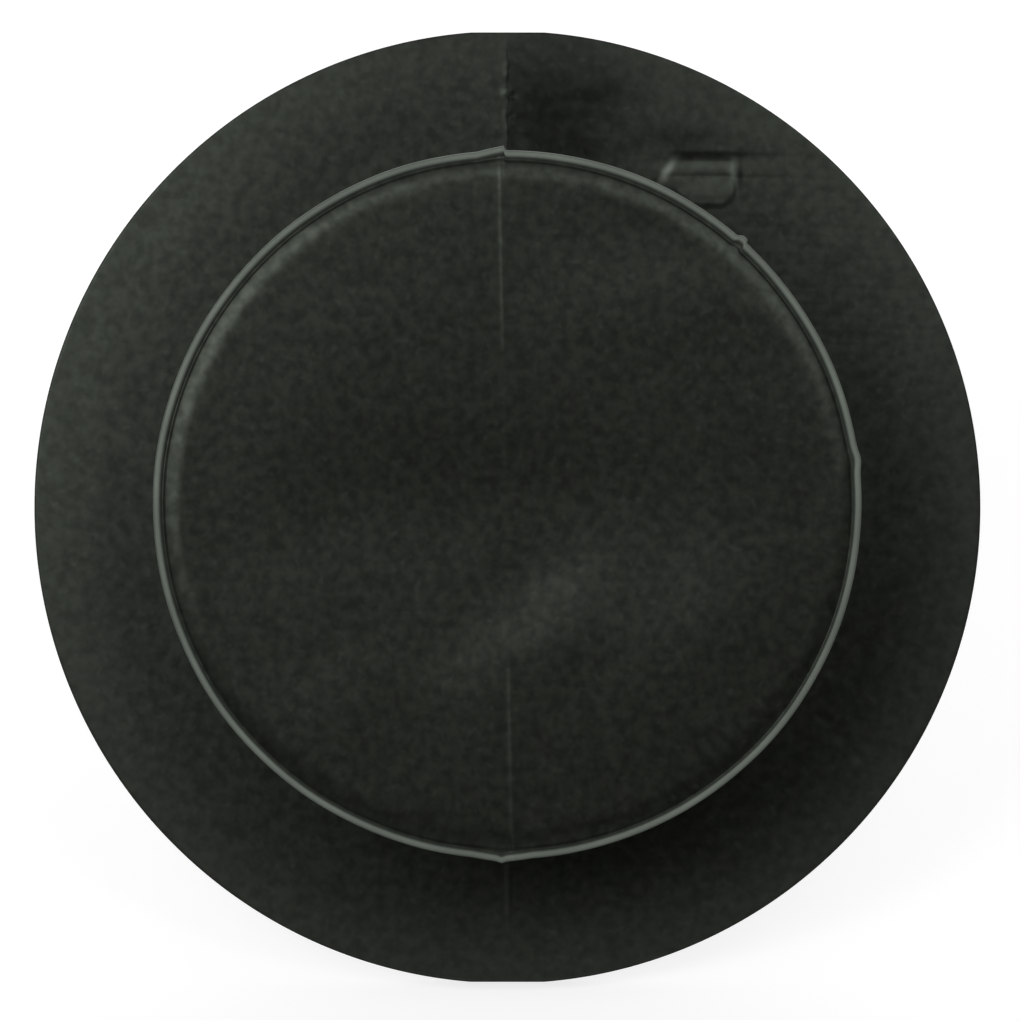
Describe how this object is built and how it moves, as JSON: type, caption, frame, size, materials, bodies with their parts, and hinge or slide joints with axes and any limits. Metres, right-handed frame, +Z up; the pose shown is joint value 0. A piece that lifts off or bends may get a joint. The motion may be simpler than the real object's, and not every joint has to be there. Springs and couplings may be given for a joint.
{
  "type": "push-type retainer",
  "caption": "Moulded push-in retainer for trim panels: a small round head disc on a short neck, a wide round flange, and a finned stem that presses into a round panel hole.",
  "frame": {"origin": "on the surface that the retainer lies on, under the middle of its box", "axes": "+Z up from that surface; the retainer's own axis lies in the YZ plane, with its head looking towards -Y and about 28 degrees up, and its stem pointing towards +Y and down"},
  "size_m": [0.02, 0.0228, 0.0181],
  "materials": {
    "black_nylon": "fine-grained matt black moulded nylon"
  },
  "bodies": {
    "root": {"push_type_retainer": "black_nylon"}
  },
  "joints": []
}
